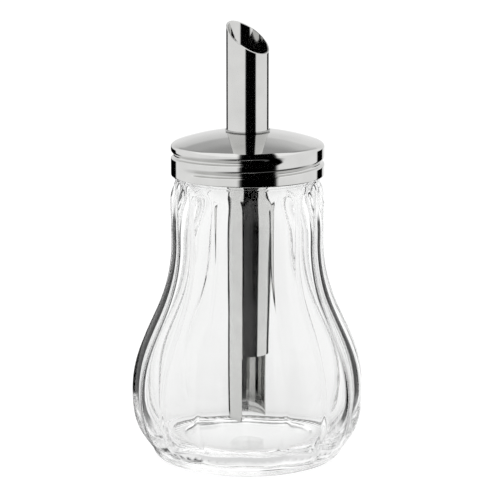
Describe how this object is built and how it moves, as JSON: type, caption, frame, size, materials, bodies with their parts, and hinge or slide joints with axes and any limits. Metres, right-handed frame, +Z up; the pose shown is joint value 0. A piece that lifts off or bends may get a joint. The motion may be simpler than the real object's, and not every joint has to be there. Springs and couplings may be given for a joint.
{
  "type": "sugar pourer",
  "caption": "Pear-shaped ribbed glass jar with a domed steel screw cap and a slant-cut steel pouring tube that reaches almost to the jar floor.",
  "frame": {"origin": "centre of the jar's foot ring, on the surface that it stands on", "axes": "+Z up along the jar's axis; -Y is the front and +X the right, so the low side of the tube's slanted mouth points forward and to the right"},
  "size_m": [0.08, 0.08, 0.15],
  "materials": {
    "glass": "clear pressed glass, smooth and slightly wavy",
    "cap_steel": "bright stainless steel, finely spun",
    "tube_steel": "bright drawn stainless tube",
    "ring_steel": "plain pressed steel",
    "seal": "soft white sealing plastic"
  },
  "bodies": {
    "jar": {"glass_jar": "glass"},
    "seal": {"cap_seal": "seal"},
    "cap": {"screw_cap": "cap_steel", "pouring_tube": "tube_steel", "tube_retaining_ring": "ring_steel"}
  },
  "joints": [
    {"name": "cap_lift", "type": "slide", "parent": "jar", "child": "seal", "axis": [0, 0, 1], "range_m": [0, 0.0054]},
    {"name": "cap_turn", "type": "hinge", "parent": "seal", "child": "cap", "pos_m": [0, 0, 0.098], "axis": [0, 0, 1], "range_deg": [0, 450]}
  ],
  "couplings": [
    {"joint": "cap_lift", "follows": "cap_turn", "m_per_rad": 0.00067376}
  ]
}
